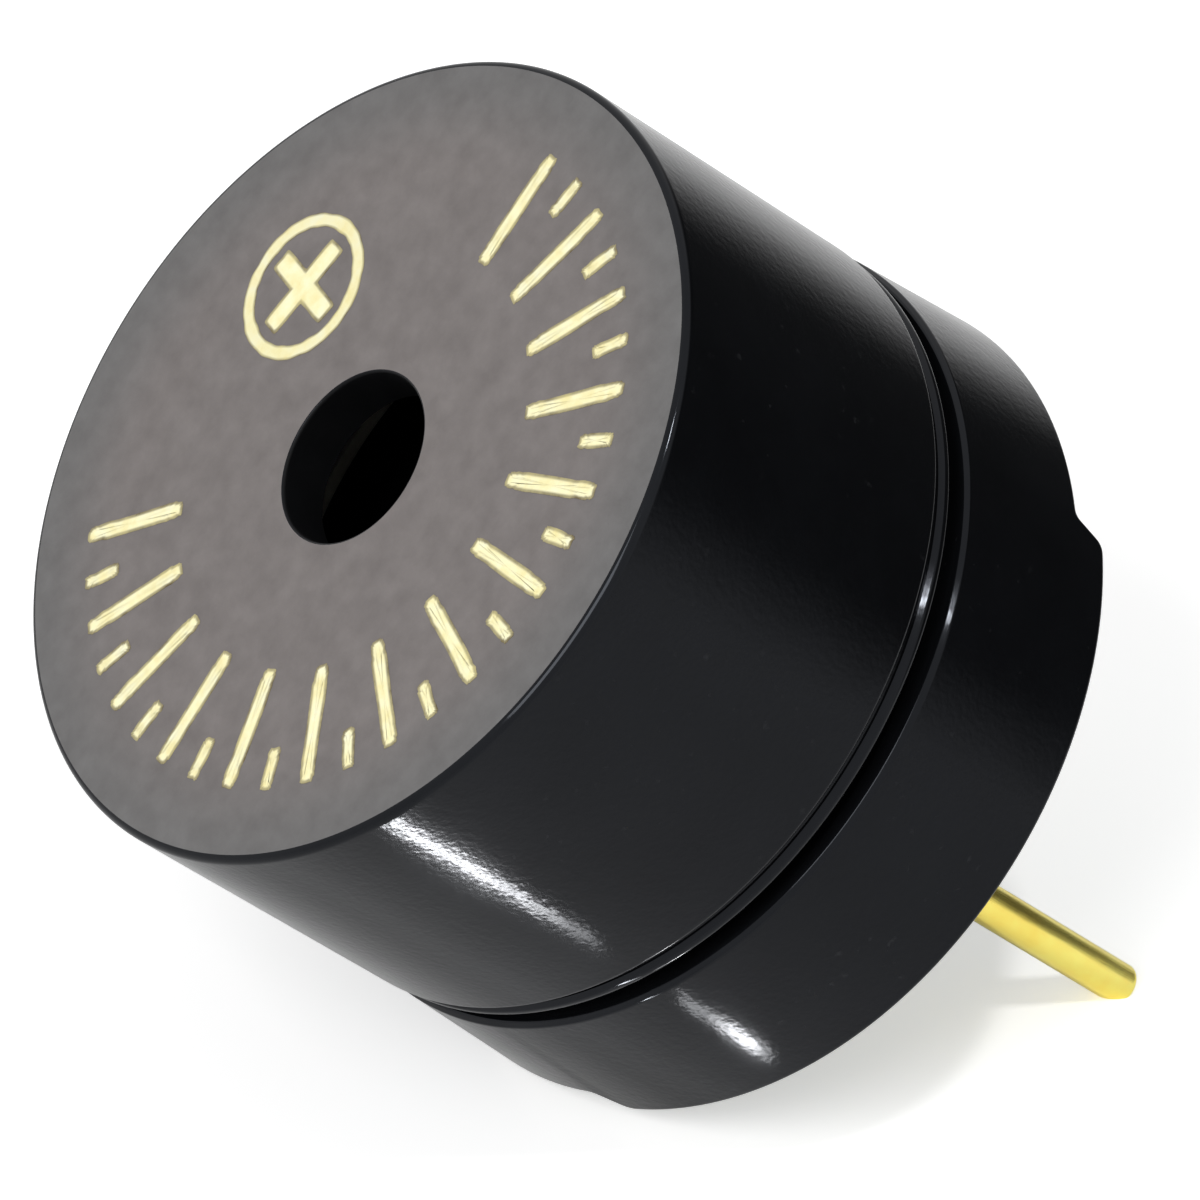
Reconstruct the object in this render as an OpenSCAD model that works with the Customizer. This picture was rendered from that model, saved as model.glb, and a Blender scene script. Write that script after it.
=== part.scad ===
// Round board-mount magnetic buzzer: a moulded two-part case round a wound magnetic motor.
// The origin is the centre of the seating plane, under the feet. +Z runs out through the
// sound port and +X runs through the negative pin.

/* [Case] */
// Diameter of the lower case at its feet
case_d = 12; // [11.9:0.1:12.4]
// Diameter of the lower case at its shoulder
shoulder_d = 11.8; // [11.7:0.1:11.9]
// Diameter of the upper case
cap_d = 11.8; // [11.6:0.1:11.9]
// Height of the face above the seating plane
case_h = 8.7; // [8:0.1:9.6]
// Thickness of the face
face_t = 0.8; // [0.6:0.1:1]
// Diameter of the sound port
port_d = 2.5; // [1.5:0.1:3.2]
// Radius of the moulded outer edges
edge_r = 0.08; // [0.04:0.01:0.1]
// Radius of the edge round the face
rim_r = 0.12; // [0.05:0.01:0.2]

/* [Joint between the two cases] */
// Height of the lower case's shoulder above the seating plane
shoulder_z = 2.85; // [2.7:0.05:2.9]
// Radius of the shoulder's outer edge
shoulder_r = 0.1; // [0.06:0.01:0.2]
// Open height of the groove between shoulder and lip
groove_h = 0.28; // [0.2:0.02:0.5]
// Diameter of the spigot, which is the bottom of the groove
spigot_d = 10.9; // [10.8:0.05:11]
// Height of the spigot's top, where the upper case seats
spigot_z = 4.6; // [4.4:0.1:4.7]
// Height of the bead along the upper case's lip
bead_h = 0.22; // [0.2:0.02:0.3]
// Height of the crease between the bead and the wall
crease_h = 0.12; // [0.06:0.02:0.16]
// Depth of that crease
crease_depth = 0.12; // [0.11:0.01:0.16]

/* [Feet] */
// Height of the two feet, which is the depth of the notches between them
foot_h = 0.55; // [0.3:0.05:0.6]
// Width of a notch at its ceiling
notch_ceiling_w = 5.9; // [4:0.1:6]
// Width of a notch at the seating plane
notch_mouth_w = 6.3; // [6.2:0.1:7.2]
// Radius of the notch's corners
notch_corner_r = 0.15; // [0.05:0.05:0.2]

/* [Pins] */
// Distance between the pins
pitch = 6.5; // [6.3:0.1:6.7]
// Diameter of a pin
pin_d = 0.6; // [0.5:0.05:0.7]
// Length of a pin below the seating plane
pin_l = 5.5; // [3:0.5:8]

/* [Circuit board] */
// Height of the board's underside above the seating plane
board_z = 0.95; // [0.9:0.05:1]
// Thickness of the board
board_t = 0.8; // [0.6:0.1:0.9]
// Diameter of the board
board_d = 10.4; // [10.3:0.05:10.4]
// Thickness of the copper lands
land_t = 0.04; // [0.03:0.01:0.07]
// Diameter of the copper lands
land_d = 1.9; // [1.6:0.1:2]

/* [Motor] */
// Thickness of the yoke plate
yoke_t = 0.7; // [0.5:0.1:0.8]
// Diameter of the pole core
core_d = 2; // [1.8:0.1:2.2]
// Diameter of the bobbin's flanges
bobbin_d = 5.5; // [5:0.1:5.6]
// Outer diameter of the winding
coil_d = 5.2; // [4.6:0.1:5.2]
// Diameter of the enamelled wire
wire_d = 0.1; // [0.08:0.01:0.12]
// Outer diameter of the magnet ring
magnet_d = 8.5; // [7.6:0.1:8.5]
// Inner diameter of the magnet ring
magnet_bore_d = 6.4; // [6.3:0.1:6.6]
// Height of the magnet ring
magnet_h = 2; // [1.6:0.1:2.1]
// Diameter of the diaphragm
diaphragm_d = 9.5; // [9.3:0.1:9.5]
// Thickness of the diaphragm
diaphragm_t = 0.08; // [0.06:0.01:0.1]
// Diameter of the armature disc
armature_d = 3.8; // [3:0.1:4.4]
// Gap between the pole core and the diaphragm
air_gap = 0.25; // [0.15:0.05:0.4]

/* [Hidden] */
$fn = 96;
small_fn = 32;            // facets for pins, holes and wire
cut = 1;                  // how far a cutter runs past what it cuts
negative_side = 0;        // turn about Z that puts a pin on +X
positive_side = 180;      // and on -X

// Case
lip_z = shoulder_z + groove_h;
case_bore_d = 10;         // through the spigot and up the cap's chamber
board_seat_d = 10.5;      // recess under the ledge that the board seats against
chamber_fillet = 0.4;
port_edge_r = 0.05;
bead_inset = 0.03;        // how far the bead lies inside the wall
lead_in = 0.1;            // chamfers on the spigot and the recess

// Board and pins
board_top = board_z + board_t;
land_z = board_z - land_t;
barrel_d = 0.92;          // thicker stretch of a pin, inside the board
barrel_drop = 0.15;       // how far the barrel shows below the board
pin_hole_d = 1;
pin_tip = 0.07;           // chamfer on a pin's tip
head_d = 1.2;
head_h = 0.25;
lead_angle = 45;          // from a pin to its lead's hole
lead_radius = 2.95;       // from the axis to the lead's hole
lead_hole_d = 0.4;
lead_to_pin = sqrt(pow(pitch / 2, 2) + pow(lead_radius, 2)
    - pitch * lead_radius * cos(lead_angle));
lead_turn = atan2(lead_radius * sin(lead_angle), lead_radius * cos(lead_angle) - pitch / 2);
solder_foot_d = 1.8;
solder_neck = 0.05;       // solder left on the pin at the cone's tip
seal_w = 0.7;
seal_drop = 0.38;         // how far the resin climbs down the case wall

// Motor
yoke_top = board_top + yoke_t;
yoke_d = 9.8;
head_clearance_d = 1.6;   // hole in the yoke round a pin's head
bevel = 0.1;
ledge_z = 4.7;            // where the support ring carries the diaphragm
core_top = ledge_z - air_gap;
flange_t = 0.15;
barrel_wall = 0.14;       // wall of the bobbin under the winding
bobbin_top = core_top - bevel;
coil_bottom = yoke_top + flange_t;
coil_top = bobbin_top - flange_t;
lead_exit = 0.12;         // height of the lead above the lower flange
tape_t = 0.05;
tape_margin = 0.25;       // winding left bare below the tape
ring_d = 9.9;
ring_bore_d = 8.6;
ring_lip_w = 0.16;
ring_lip_h = 0.25;
armature_t = 0.22;

// Points along an arc about [cx, cy] from angle a0 to a1
function arc(cx, cy, r, a0, a1, n = 6) =
    [for (i = [0 : n]) let (a = a0 + (a1 - a0) * i / n) [cx + r * cos(a), cy + r * sin(a)]];

// Puts a piece beside the pin on the given side
module at_pin(side) {
    rotate([0, 0, side]) translate([pitch / 2, 0, 0]) children();
}

// Puts a piece where the lead of that side goes down
module at_lead(side) {
    rotate([0, 0, side + lead_angle]) translate([lead_radius, 0, 0]) children();
}

// Solid of revolution with all four edges of its section bevelled
module bevelled_ring(inner_d, outer_d, z0, z1, b) {
    rotate_extrude() polygon([
        [inner_d / 2 + b, z0], [outer_d / 2 - b, z0], [outer_d / 2, z0 + b],
        [outer_d / 2, z1 - b], [outer_d / 2 - b, z1], [inner_d / 2 + b, z1],
        [inner_d / 2, z1 - b], [inner_d / 2, z0 + b],
    ]);
}

module disc(d, z0, z1) {
    translate([0, 0, z0]) cylinder(d = d, h = z1 - z0);
}

module ring(inner_d, outer_d, z0, z1) {
    difference() {
        disc(outer_d, z0, z1);
        disc(inner_d, z0 - cut, z1 + cut);
    }
}

// Cap with the face, the port, the chamber and the beaded lip
module upper_case() {
    wall_r = cap_d / 2;
    bead_r = bead_h / 2;
    bore_r = spigot_d / 2;
    chamber_r = case_bore_d / 2;
    ceiling_z = case_h - face_t;
    crease_z = lip_z + bead_h;
    wall_z = crease_z + crease_h;
    color("#1b1c1f") rotate_extrude() polygon(concat(
        [[bore_r, lip_z]],
        arc(wall_r - bead_inset - bead_r, lip_z + bead_r, bead_r, -90, 50),
        [[wall_r - crease_depth, crease_z], [wall_r - crease_depth, wall_z]],
        arc(wall_r - edge_r, wall_z + edge_r, edge_r, -90, 0),
        arc(wall_r - rim_r, case_h - rim_r, rim_r, 0, 90),
        arc(port_d / 2 + port_edge_r, case_h - port_edge_r, port_edge_r, 90, 180),
        [[port_d / 2, ceiling_z]],
        arc(chamber_r - chamber_fillet, ceiling_z - chamber_fillet, chamber_fillet, 90, 0),
        [[chamber_r, spigot_z], [bore_r, spigot_z]]
    ));
}

// Half of the notch's outline, from the seating plane to the ceiling
function notch_half(ceiling, mouth, h, r) =
    let (
        slope = atan2(h, mouth - ceiling),
        inset = r * tan(slope / 2)
    )
    concat(
        [[mouth + inset, -cut]],
        arc(mouth + inset, r, r, 270, 270 - slope),
        arc(ceiling - inset, h - r, r, 90 - slope, 90)
    );

// Space between the two feet, seen along Y
module notch_outline() {
    half = notch_half(notch_ceiling_w / 2, notch_mouth_w / 2, foot_h, notch_corner_r);
    count = len(half);
    mirrored = [for (i = [count - 1 : -1 : 0]) [-half[i][0], half[i][1]]];
    polygon(concat(half, mirrored));
}

// Ring with the feet, the board's recess, the shoulder and the spigot
module lower_case() {
    foot_r = case_d / 2;
    top_r = shoulder_d / 2;
    bore_r = case_bore_d / 2;
    seat_r = board_seat_d / 2;
    spigot_r = spigot_d / 2;
    color("#1b1c1f") difference() {
        rotate_extrude() polygon(concat(
            [[seat_r + lead_in, 0]],
            arc(foot_r - edge_r, edge_r, edge_r, -90, 0),
            arc(top_r - shoulder_r, shoulder_z - shoulder_r, shoulder_r, 0, 90),
            [
                [spigot_r, shoulder_z], [spigot_r, spigot_z - lead_in],
                [spigot_r - lead_in, spigot_z], [bore_r, spigot_z],
                [bore_r, board_top], [seat_r, board_top], [seat_r, lead_in],
            ]
        ));
        rotate([90, 0, 0]) linear_extrude(height = 2 * case_d, center = true) notch_outline();
    }
}

// Turned pin: tip, shank, barrel in the board, head on the board
module pin(side) {
    shank_r = pin_d / 2;
    barrel_r = barrel_d / 2;
    head_r = head_d / 2;
    color("#d9a441") at_pin(side) rotate_extrude($fn = small_fn) polygon(concat(
        [
            [0, -pin_l], [shank_r - pin_tip, -pin_l], [shank_r, -pin_l + pin_tip],
            [shank_r, board_z - barrel_drop], [barrel_r, board_z - barrel_drop],
            [barrel_r, board_top], [head_r, board_top],
        ],
        arc(head_r - bevel, board_top + head_h - bevel, bevel, 0, 90),
        [[0, board_top + head_h]]
    ));
}

module pin_positive() pin(positive_side);
module pin_negative() pin(negative_side);

// Disc with holes for the pins and the leads
module circuit_board() {
    color("#2d6a45") difference() {
        disc(board_d, board_z, board_top);
        for (side = [negative_side, positive_side]) {
            at_pin(side) disc(pin_hole_d, board_z - cut, board_top + cut);
            at_lead(side) disc(lead_hole_d, board_z - cut, board_top + cut);
        }
    }
}

// Copper land round a pin, with a tail that the lead lies on
module land(side) {
    tail_l = lead_to_pin - lead_hole_d;
    tail_w = land_d / 4;
    color("#c98a4b") at_pin(side) translate([0, 0, land_z]) linear_extrude(height = land_t)
        difference() {
            union() {
                circle(d = land_d);
                rotate(lead_turn) translate([0, -tail_w / 2]) square([tail_l, tail_w]);
            }
            circle(d = pin_hole_d);
        }
}

module land_positive() land(positive_side);
module land_negative() land(negative_side);

// Straight stretch of wire with round ends
module wire(from, to) {
    run = to - from;
    reach = norm(run);
    translate(from) rotate([0, acos(run[2] / reach), atan2(run[1], run[0])]) {
        cylinder(d = wire_d, h = reach, $fn = small_fn);
        sphere(d = wire_d, $fn = small_fn);
        translate([0, 0, reach]) sphere(d = wire_d, $fn = small_fn);
    }
}

// One lead: out of the winding, down through yoke and board, along the land to the pin
module lead(side) {
    exit_z = coil_bottom + lead_exit;
    under_z = land_z - wire_d / 2;
    end_r = barrel_d / 2 + wire_d;
    corner = [lead_radius * cos(lead_angle), lead_radius * sin(lead_angle)];
    inside = corner * (coil_d / 2 - 2 * wire_d) / lead_radius;
    end = [pitch / 2 + end_r * cos(lead_turn), end_r * sin(lead_turn)];
    rotate([0, 0, side]) {
        wire([inside[0], inside[1], exit_z], [corner[0], corner[1], exit_z]);
        wire([corner[0], corner[1], exit_z], [corner[0], corner[1], under_z]);
        wire([corner[0], corner[1], under_z], [end[0], end[1], under_z]);
    }
}

// Cone of solder that climbs the pin in a hollow curve and wraps the lead's end
module solder(side) {
    shank_r = pin_d / 2;
    barrel_r = barrel_d / 2;
    tip_r = shank_r + solder_neck;
    foot_r = solder_foot_d / 2;
    hollow_r = foot_r - tip_r;
    color("#b9bcc0") difference() {
        at_pin(side) rotate_extrude($fn = small_fn) polygon(concat(
            [[barrel_r, land_z], [barrel_r, board_z - barrel_drop],
             [shank_r, board_z - barrel_drop], [shank_r, land_z - hollow_r - solder_neck]],
            arc(foot_r, land_z - hollow_r, hollow_r, 180, 90, 8)
        ));
        lead(side);
    }
}

module solder_positive() solder(positive_side);
module solder_negative() solder(negative_side);

// Resin that seals the board's edge, hollow across like any meniscus
module epoxy_seal() {
    wall_r = board_seat_d / 2;
    hollow_r = (pow(seal_w, 2) + pow(seal_drop, 2)) / (2 * seal_drop);
    color("#26241f") rotate_extrude() polygon(concat(
        [[wall_r, board_z]],
        arc(wall_r - seal_w, board_z - hollow_r, hollow_r, 90, acos(seal_w / hollow_r))
    ));
}

// Iron base disc, with holes for the core, the pin heads and the leads
module yoke_plate() {
    color("#8f9296") difference() {
        bevelled_ring(core_d - 2 * bevel, yoke_d, board_top, yoke_top, bevel);
        disc(core_d, board_top - cut, yoke_top + cut);
        for (side = [negative_side, positive_side]) {
            at_pin(side) disc(head_clearance_d, board_top - cut, yoke_top + cut);
            at_lead(side) disc(lead_hole_d, board_top - cut, yoke_top + cut);
        }
    }
}

// Iron core, flush under the yoke and bevelled at the pole face
module pole_core() {
    core_r = core_d / 2;
    color("#a3a6aa") rotate_extrude() polygon([
        [0, board_top], [core_r, board_top], [core_r, core_top - bevel],
        [core_r - bevel, core_top], [0, core_top],
    ]);
}

// Thin spool on the core
module bobbin() {
    core_r = core_d / 2;
    flange_r = bobbin_d / 2;
    wound_r = core_r + barrel_wall;
    color("#e8e4d8") rotate_extrude() polygon([
        [core_r, yoke_top], [flange_r, yoke_top], [flange_r, coil_bottom],
        [wound_r, coil_bottom], [wound_r, coil_top], [flange_r, coil_top],
        [flange_r, bobbin_top], [core_r, bobbin_top],
    ]);
}

// Winding and its two leads, which are one wire
module coil_winding() {
    color("#b5602c") union() {
        ring(core_d + 2 * barrel_wall, coil_d, coil_bottom, coil_top);
        lead(negative_side);
        lead(positive_side);
    }
}

// One turn of tape, clear of the lead's exit
module coil_tape() {
    color("#d8b13c") ring(coil_d, coil_d + 2 * tape_t, coil_bottom + tape_margin, coil_top);
}

module magnet_ring() {
    color("#3a3a3e") bevelled_ring(magnet_bore_d, magnet_d, yoke_top, yoke_top + magnet_h, bevel);
}

// Ring round the magnet, with a ledge for the diaphragm and a lip that centres it
module support_ring() {
    outer_r = ring_d / 2;
    lip_r = outer_r - ring_lip_w;
    color("#d9d5c6") rotate_extrude() polygon([
        [ring_bore_d / 2, yoke_top], [outer_r, yoke_top], [outer_r, ledge_z + ring_lip_h],
        [lip_r, ledge_z + ring_lip_h], [lip_r, ledge_z], [ring_bore_d / 2, ledge_z],
    ]);
}

module diaphragm() {
    color("#b8bcc2") disc(diaphragm_d, ledge_z, ledge_z + diaphragm_t);
}

module armature_disc() {
    z0 = ledge_z + diaphragm_t;
    armature_r = armature_d / 2;
    color("#9a9da3") rotate_extrude() polygon([
        [0, z0], [armature_r, z0], [armature_r, z0 + armature_t - bevel],
        [armature_r - bevel, z0 + armature_t], [0, z0 + armature_t],
    ]);
}

upper_case();
lower_case();
pin_positive();
pin_negative();
circuit_board();
land_positive();
land_negative();
solder_positive();
solder_negative();
epoxy_seal();
yoke_plate();
pole_core();
bobbin();
coil_winding();
coil_tape();
magnet_ring();
support_ring();
diaphragm();
armature_disc();
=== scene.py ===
import math

import bpy
import numpy as np
from mathutils import Matrix, Vector


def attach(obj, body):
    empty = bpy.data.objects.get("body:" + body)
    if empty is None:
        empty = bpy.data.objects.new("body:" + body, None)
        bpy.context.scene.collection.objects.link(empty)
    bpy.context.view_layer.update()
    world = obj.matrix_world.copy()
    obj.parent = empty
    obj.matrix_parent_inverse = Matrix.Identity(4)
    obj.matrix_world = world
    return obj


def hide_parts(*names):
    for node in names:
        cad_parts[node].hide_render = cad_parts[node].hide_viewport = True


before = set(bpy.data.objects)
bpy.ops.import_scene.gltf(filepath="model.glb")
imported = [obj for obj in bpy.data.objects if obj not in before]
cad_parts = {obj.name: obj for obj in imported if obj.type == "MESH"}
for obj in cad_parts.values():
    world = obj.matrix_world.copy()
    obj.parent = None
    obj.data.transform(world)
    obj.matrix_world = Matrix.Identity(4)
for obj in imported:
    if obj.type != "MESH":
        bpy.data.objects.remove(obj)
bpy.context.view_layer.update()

# A round magnetic buzzer for a circuit board, on a pale table in a white room. Shapes are worked
# out in millimetres, as whole arrays, and become metres where they are put into a mesh.
scene = bpy.context.scene
scene.view_settings.view_transform = "Standard"
mm = 0.001
tiny = 1e-6
fullTurn = 2 * math.pi
print("stage 1: packed frame loaded,", len(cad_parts), "nodes")


# Points on an arc: its centre plus the radius times the cosine and sine of even angles in degrees.
def arcPoints(centreR, centreZ, radius, start, end, steps=8):
    angle = np.radians(np.linspace(start, end, steps + 1))
    return np.stack([centreR + radius * np.cos(angle), centreZ + radius * np.sin(angle)], axis=1)


# A section strings arcs and corners together, anticlockwise in the r-z plane. Long straight sides
# get a guard point near both ends, so that a rounded edge doesn't shade the flat beside it.
def section(*parts, closed=True, guard=0.03, longSide=0.12):
    points = np.vstack([np.atleast_2d(part) for part in parts]).astype(float)
    points = points[np.linalg.norm(np.roll(points, -1, axis=0) - points, axis=1) > tiny]
    nextPoints = np.roll(points, -1, axis=0)
    area = np.sum(points[:, 0] * nextPoints[:, 1] - nextPoints[:, 0] * points[:, 1])
    if area < 0:
        points = points[::-1]
        nextPoints = np.roll(points, -1, axis=0)
    side = nextPoints - points
    length = np.linalg.norm(side, axis=1)
    step = side * (guard / np.maximum(length, guard))[:, None]
    spread = np.stack([points, points + step, nextPoints - step], axis=1)
    keep = np.ones(spread.shape[:2], bool)
    keep[:, 1:] = (length > longSide)[:, None]
    if not closed:
        keep[-1, 1:] = False
    return spread[keep]


# The two points just inside the ends of a small flat between a and b, which keep its shading flat.
def flatBetween(a, b, inset=0.006):
    a, b = np.array(a), np.array(b)
    step = (b - a) * inset / np.linalg.norm(b - a)
    return np.array([a + step, b - step])


# A grid of points [around, along] becomes faces between neighbours. A column whose points all
# meet is a pole: it keeps one point, and its faces become triangles.
def weave(grid, wrapAround=True, wrapAlong=True):
    around, along = grid.shape[:2]
    index = np.arange(around * along).reshape(around, along)
    pole = np.abs(grid - grid[:1]).max(axis=(0, 2)) < tiny
    index[:, pole] = index[0, pole]
    beside = np.roll(index, -1, axis=0)
    if not wrapAround:
        index, beside = index[:-1], beside[:-1]
    if wrapAlong:
        corners = [index, beside, np.roll(beside, -1, axis=1), np.roll(index, -1, axis=1)]
    else:
        corners = [index[:, :-1], beside[:, :-1], beside[:, 1:], index[:, 1:]]
    quads = np.stack(corners, axis=2).reshape(-1, 4)
    foot, head = quads[:, 0] == quads[:, 1], quads[:, 2] == quads[:, 3]
    faces = quads[~foot & ~head].tolist()
    faces += quads[foot & ~head][:, [0, 2, 3]].tolist() + quads[head & ~foot][:, [0, 1, 2]].tolist()
    return grid.reshape(-1, 3), faces


# A section carried round an upright axis: x = r cos(turn), y = r sin(turn), z as drawn.
def revolve(points, steps=192, closed=True, centre=(0, 0)):
    turn = np.linspace(0, fullTurn, steps, endpoint=False)[:, None]
    r, z = points[:, 0], points[:, 1]
    grid = np.stack([centre[0] + r * np.cos(turn), centre[1] + r * np.sin(turn), z + 0 * turn], axis=2)
    return weave(grid, wrapAlong=closed)


# A path of straight runs whose corners become short curves: each corner is left before it and
# joined after it by a parabola from (1-t)^2 a + 2t(1-t) b + t^2 c.
def softPath(corners, bend, steps=8):
    corners = np.array(corners, float)
    t = np.linspace(0, 1, steps + 1)[:, None]
    runs = [corners[:1]]
    for before, corner, after in zip(corners[:-2], corners[1:-1], corners[2:]):
        a = corner + (before - corner) * bend / np.linalg.norm(before - corner)
        c = corner + (after - corner) * bend / np.linalg.norm(after - corner)
        runs.append((1 - t) ** 2 * a + 2 * t * (1 - t) * corner + t ** 2 * c)
    runs.append(corners[-1:])
    return np.vstack(runs)


# A round wire: a circle lies across the path at each of its points, and a half ball closes each
# end. The circle's first axis is a slanting unit vector less its share along the path.
def tube(path, radius, sides=14, capSteps=5):
    ahead = np.gradient(path, axis=0)
    ahead /= np.linalg.norm(ahead, axis=1)[:, None]
    cap = np.radians(np.linspace(-90, 0, capSteps + 1))[:-1]
    centre = np.vstack([path[0] + ahead[0] * radius * np.sin(cap)[:, None], path,
                        path[-1] - ahead[-1] * radius * np.sin(cap[::-1])[:, None]])
    ahead = np.vstack([np.repeat(ahead[:1], len(cap), 0), ahead, np.repeat(ahead[-1:], len(cap), 0)])
    scale = np.concatenate([np.cos(cap), np.ones(len(path)), np.cos(cap[::-1])])
    scale[[0, -1]] = 0
    aside = np.array([1, 1, 1]) / math.sqrt(3) - ahead * (ahead.sum(axis=1) / math.sqrt(3))[:, None]
    aside /= np.linalg.norm(aside, axis=1)[:, None]
    up = np.cross(ahead, aside)
    turn = np.linspace(0, fullTurn, sides, endpoint=False)[:, None, None]
    ring = (np.cos(turn) * aside + np.sin(turn) * up) * (radius * scale)[None, :, None]
    return weave(centre[None] + ring, wrapAlong=False)


# Puts parts into one mesh in metres, smooth except where two faces meet at more than sharpAt.
def addPiece(name, parts, materials, standsFor=(), sharpAt=40):
    starts = np.cumsum([0] + [len(points) for points, faces in parts])
    points = np.vstack([points for points, faces in parts]) * mm
    faces = [[corner + int(start) for corner in face]
             for part, start in zip(parts, starts) for face in part[1]]
    mesh = bpy.data.meshes.new(name)
    mesh.from_pydata(points.tolist(), [], faces)
    for material in materials:
        mesh.materials.append(material)
    mesh.shade_smooth()
    mesh.set_sharp_from_angle(angle=math.radians(sharpAt))
    piece = bpy.data.objects.new(name, mesh)
    scene.collection.objects.link(piece)
    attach(piece, "root")
    if standsFor:
        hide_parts(*standsFor)
    return piece


# Each face's distance from the Z axis and height, in millimetres, and the upward part of its normal.
def facesOf(piece):
    mesh = piece.data
    centre, normal = np.empty(3 * len(mesh.polygons)), np.empty(3 * len(mesh.polygons))
    mesh.polygons.foreach_get("center", centre)
    mesh.polygons.foreach_get("normal", normal)
    centre = centre.reshape(-1, 3) / mm
    return np.hypot(centre[:, 0], centre[:, 1]), centre[:, 2], normal.reshape(-1, 3)[:, 2]


# Gives each face of a piece its material, by the material's number on the piece.
def paintFaces(piece, numbers):
    piece.data.polygons.foreach_set("material_index", numbers.astype(np.int32))


# Adds a node. A keyword sets the node's own setting of that name, or else the input, with _ for
# a space.
def addNode(tree, kind, place, **values):
    node = tree.nodes.new("ShaderNode" + kind)
    node.location = place
    for key, value in values.items():
        if hasattr(node, key):
            setattr(node, key, value)
        else:
            node.inputs[key.replace("_", " ")].default_value = value
    return node


# Each link is a node and its output, then a node and its input.
def joinNodes(tree, *links):
    for start, output, end, entry in links:
        tree.links.new(start.outputs[output], end.inputs[entry])


# Colours along the grain's mottle: stops are (position, colour) pairs.
def addRamp(tree, place, grain, stops):
    ramp = addNode(tree, "ValToRGB", place)
    while len(ramp.color_ramp.elements) < len(stops):
        ramp.color_ramp.elements.new(0.5)
    for element, (position, colour) in zip(ramp.color_ramp.elements, stops):
        element.position = position
        element.color = (*colour, 1)
    joinNodes(tree, (grain, "Mottle", ramp, 0))
    return ramp


# A Principled material with set values, and a node that puts out Object coordinates in millimetres.
def newMaterial(name, look):
    material = bpy.data.materials.new(name)
    material.use_nodes = True
    tree = material.node_tree
    shader = tree.nodes["Principled BSDF"]
    for key, value in look.items():
        shader.inputs[key].default_value = (*value, 1) if isinstance(value, tuple) else value
    where = addNode(tree, "TexCoord", (-1500, 0))
    scale = addNode(tree, "Mapping", (-1320, 0), Scale=(1 / mm, 1 / mm, 1 / mm))
    joinNodes(tree, (where, "Object", scale, "Vector"))
    return material, tree, shader, scale


# A node group. Each input is a number with a value to start from, or a vector where that is None,
# and each output is a number.
def newGroup(name, inputs, outputs):
    tree = bpy.data.node_groups.new(name, "ShaderNodeTree")
    for label, value in inputs.items():
        kind = "NodeSocketVector" if value is None else "NodeSocketFloat"
        socket = tree.interface.new_socket(label, in_out="INPUT", socket_type=kind)
        if value is not None:
            socket.default_value = value
    for label in outputs:
        tree.interface.new_socket(label, in_out="OUTPUT", socket_type="NodeSocketFloat")
    start, end = tree.nodes.new("NodeGroupInput"), tree.nodes.new("NodeGroupOutput")
    start.location, end.location = (-900, 0), (700, 0)
    return tree, start, end


def useGroup(tree, group, place, where, **values):
    node = addNode(tree, "Group", place)
    node.node_tree = group
    for key, value in values.items():
        node.inputs[key].default_value = value
    joinNodes(tree, (where, "Vector", node, "Place"))
    return node


# Moulded or ground grain: a fine noise for the height and a coarse one for slow mottling.
def makeGrain():
    tree, start, end = newGroup(
        "fineGrain", {"Place": None, "Fine": 9.0, "Octaves": 4.0, "Coarse": 0.8}, ["Height", "Mottle"])
    fine = addNode(tree, "TexNoise", (-600, 160), Roughness=0.6)
    coarse = addNode(tree, "TexNoise", (-600, -160), Detail=5.0, Roughness=0.62)
    spread = addNode(tree, "MapRange", (-300, -160), From_Min=0.3, From_Max=0.7)
    joinNodes(tree, (start, "Place", fine, "Vector"), (start, "Fine", fine, "Scale"),
              (start, "Octaves", fine, "Detail"), (fine, "Fac", end, "Height"),
              (start, "Place", coarse, "Vector"), (start, "Coarse", coarse, "Scale"),
              (coarse, "Fac", spread, "Value"), (spread, "Result", end, "Mottle"))
    return tree


# Dust: only the highest peaks of a fine noise, thinned by a slow one, so specks gather in drifts.
def makeDust():
    tree, start, end = newGroup("dustSpecks", {"Place": None, "Size": 12.0, "Amount": 0.3}, ["Mask"])
    speck = addNode(tree, "TexNoise", (-650, 160), Detail=2.0, Roughness=0.5)
    drift = addNode(tree, "TexNoise", (-650, -160), Scale=0.5, Detail=2.0)
    peak = addNode(tree, "MapRange", (-400, 160), From_Min=0.68, From_Max=0.76)
    slow = addNode(tree, "MapRange", (-400, -160), From_Min=0.4, From_Max=0.65)
    both = addNode(tree, "Math", (-150, 60), operation="MULTIPLY")
    level = addNode(tree, "Math", (80, 60), operation="MULTIPLY")
    joinNodes(tree, (start, "Place", speck, "Vector"), (start, "Place", drift, "Vector"),
              (start, "Size", speck, "Scale"), (speck, "Fac", peak, "Value"), (peak, "Result", both, 0),
              (drift, "Fac", slow, "Value"), (slow, "Result", both, 1), (both, 0, level, 0),
              (start, "Amount", level, 1), (level, 0, end, "Mask"))
    return tree


# Fine lines along Z left by drawing: noise that is fine across and stretched twenty times along.
def makeDrawn():
    tree, start, end = newGroup("drawnLines", {"Place": None, "Across": 14.0}, ["Mask"])
    squeeze = addNode(tree, "Mapping", (-680, 0), Scale=(1, 1, 0.05))
    lines = addNode(tree, "TexNoise", (-450, 0), Detail=3.0, Roughness=0.65)
    joinNodes(tree, (start, "Place", squeeze, "Vector"), (squeeze, "Vector", lines, "Vector"),
              (start, "Across", lines, "Scale"), (lines, "Fac", end, "Mask"))
    return tree


grainGroup, dustGroup, drawnGroup = makeGrain(), makeDust(), makeDrawn()


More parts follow.
